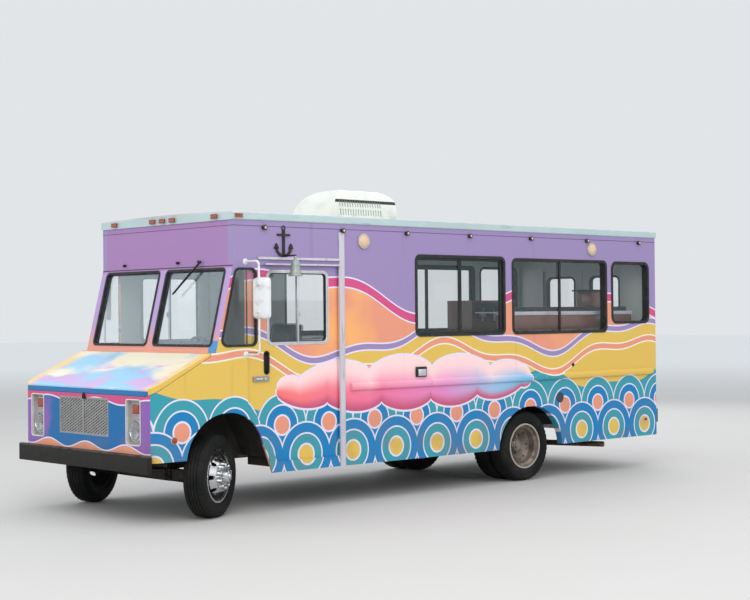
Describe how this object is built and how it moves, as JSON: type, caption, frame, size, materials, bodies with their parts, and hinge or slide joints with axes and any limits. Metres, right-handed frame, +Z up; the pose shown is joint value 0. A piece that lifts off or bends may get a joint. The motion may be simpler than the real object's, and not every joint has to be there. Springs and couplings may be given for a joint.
{
  "type": "food truck",
  "caption": "Step-van food truck with a short sloped nose, sliding cab doors, glazed kitchen body, roof air conditioner and twin rear wheels.",
  "frame": {"origin": "on the ground under the middle of the overall box", "axes": "+Z up, -Y forward, +X towards the driver's (left) side"},
  "size_m": [2.9278, 7.91, 3.3719],
  "materials": {
    "frame_black": "chassis black, dusty",
    "engine_iron": "bare cast iron",
    "radiator_core": "dull finned core",
    "tank_black": "black enamel",
    "exhaust_steel": "heat-stained steel",
    "tyre_rubber": "matt black rubber",
    "wheel_chrome": "bright chrome, lightly soiled",
    "wheel_steel": "dull steel",
    "floor_plate": "tread plate",
    "underbody_black": "undercoated sheet",
    "side_paint": "gloss mural over lavender",
    "header_paint": "gloss purple and pale lilac",
    "door_paint": "gloss mural",
    "nose_paint": "gloss cream and sky blue",
    "rear_paint": "gloss lavender",
    "window_glass": "tinted safety glass",
    "door_window": "tinted glass in a rubber channel",
    "rubber_black": "matt black rubber and anodised frame",
    "roof_white": "weathered white",
    "cooler_white": "moulded white shell",
    "grille_metal": "pale painted mesh",
    "bezel_grey": "light grey moulding",
    "lamp_glass": "clear lens over a reflector",
    "lamp_amber": "amber and red lenses",
    "bumper_black": "worn black",
    "step_steel": "plated step",
    "rail_metal": "bright anodised rail",
    "mirror_white": "white shell on plated tube",
    "wiper_black": "black",
    "lamp_white": "white porch lamps",
    "bell_metal": "dull bell metal",
    "dash_plastic": "dark grained plastic",
    "wheel_plastic": "black grip",
    "seat_vinyl": "dark vinyl",
    "kitchen_steel": "brushed stainless",
    "shelf_metal": "brushed aluminium"
  },
  "bodies": {
    "truck": {"chassis_frame": "frame_black", "cross_members": "frame_black", "leaf_springs": "frame_black", "front_axle": "frame_black", "rear_axle": "frame_black", "drive_shaft": "frame_black", "engine_block": "engine_iron", "radiator": "radiator_core", "fuel_tank": "tank_black", "exhaust": "exhaust_steel", "floor": "floor_plate", "wheel_houses": "underbody_black", "side_wall_left": "side_paint", "side_wall_right": "side_paint", "cab_front": "header_paint", "windscreen_glass": "window_glass", "side_glass": "window_glass", "window_gaskets": "rubber_black", "roof": "roof_white", "air_conditioner": "cooler_white", "front_clip": "nose_paint", "grille": "grille_metal", "lamp_bezels": "bezel_grey", "headlamps": "lamp_glass", "marker_lamps": "lamp_amber", "front_bumper": "bumper_black", "rear_frame": "rear_paint", "rear_bumper": "step_steel", "rub_rails": "rail_metal", "door_rails": "rail_metal", "mirrors": "mirror_white", "wiper": "wiper_black", "wall_lamps": "lamp_white", "door_bell": "bell_metal", "bell_bracket": "frame_black", "dashboard": "dash_plastic", "steering_wheel": "wheel_plastic", "driver_seat": "seat_vinyl", "kitchen_counters": "kitchen_steel", "kitchen_machine": "kitchen_steel", "serving_shelf": "shelf_metal"},
    "wheel_front_left": {"tyre_front_left": "tyre_rubber", "rim_front_left": "wheel_chrome"},
    "wheel_front_right": {"tyre_front_right": "tyre_rubber", "rim_front_right": "wheel_chrome"},
    "wheels_rear_left": {"tyres_rear_left": "tyre_rubber", "rims_rear_left": "wheel_steel"},
    "wheels_rear_right": {"tyres_rear_right": "tyre_rubber", "rims_rear_right": "wheel_steel"},
    "steering_left": {"knuckle_left": "frame_black"},
    "steering_right": {"knuckle_right": "frame_black"},
    "track_rod": {"tie_rod": "frame_black"},
    "hood_lid": {"hood": "nose_paint"},
    "sliding_door_left": {"door_left": "door_paint", "door_glass_left": "door_window"},
    "sliding_door_right": {"door_right": "door_paint", "door_glass_right": "door_window"},
    "back_door_left": {"rear_door_left": "rear_paint"},
    "back_door_right": {"rear_door_right": "rear_paint"}
  },
  "joints": [
    {"name": "steer_left", "type": "hinge", "parent": "truck", "child": "steering_left", "pos_m": [0.88, -3.142, 0.4055], "axis": [0, 0, 1], "range_deg": [-62, 6]},
    {"name": "roll_front_left", "type": "hinge", "parent": "steering_left", "child": "wheel_front_left", "pos_m": [0.97271, -3.09271, 0.4055], "axis": [0.8829, 0.4695, 0], "continuous": true},
    {"name": "roll_rear_left", "type": "hinge", "parent": "truck", "child": "wheels_rear_left", "pos_m": [0.86, 1.379, 0.4055], "axis": [1, 0, 0], "continuous": true},
    {"name": "steer_right", "type": "hinge", "parent": "truck", "child": "steering_right", "pos_m": [-0.88, -3.142, 0.4055], "axis": [0, 0, 1], "range_deg": [-62, 6]},
    {"name": "roll_front_right", "type": "hinge", "parent": "steering_right", "child": "wheel_front_right", "pos_m": [-0.97271, -3.19129, 0.4055], "axis": [0.8829, 0.4695, 0], "continuous": true},
    {"name": "roll_rear_right", "type": "hinge", "parent": "truck", "child": "wheels_rear_right", "pos_m": [-0.86, 1.379, 0.4055], "axis": [1, 0, 0], "continuous": true},
    {"name": "track_rod_pivot", "type": "hinge", "parent": "steering_left", "child": "track_rod", "pos_m": [0.81897, -3.02722, 0.3085], "axis": [0, 0, 1], "range_deg": [-6, 62]},
    {"name": "hood_hinge", "type": "hinge", "parent": "truck", "child": "hood_lid", "pos_m": [0, -3.209, 1.5972], "axis": [-1, 0, 0], "range_deg": [0, 55]},
    {"name": "slide_door_left", "type": "slide", "parent": "truck", "child": "sliding_door_left", "axis": [0, 1, 0], "range_m": [0, 0.88]},
    {"name": "slide_door_right", "type": "slide", "parent": "truck", "child": "sliding_door_right", "axis": [0, 1, 0], "range_m": [0, 0.88]},
    {"name": "swing_back_door_left", "type": "hinge", "parent": "truck", "child": "back_door_left", "pos_m": [0.714, 3.844, 1.7], "axis": [0, 0, -1], "range_deg": [0, 100]},
    {"name": "swing_back_door_right", "type": "hinge", "parent": "truck", "child": "back_door_right", "pos_m": [-0.714, 3.844, 1.7], "axis": [0, 0, 1], "range_deg": [0, 100]}
  ],
  "couplings": [
    {"joint": "steer_right", "follows": "steer_left", "ratio": 1},
    {"joint": "track_rod_pivot", "follows": "steer_left", "ratio": -1}
  ]
}
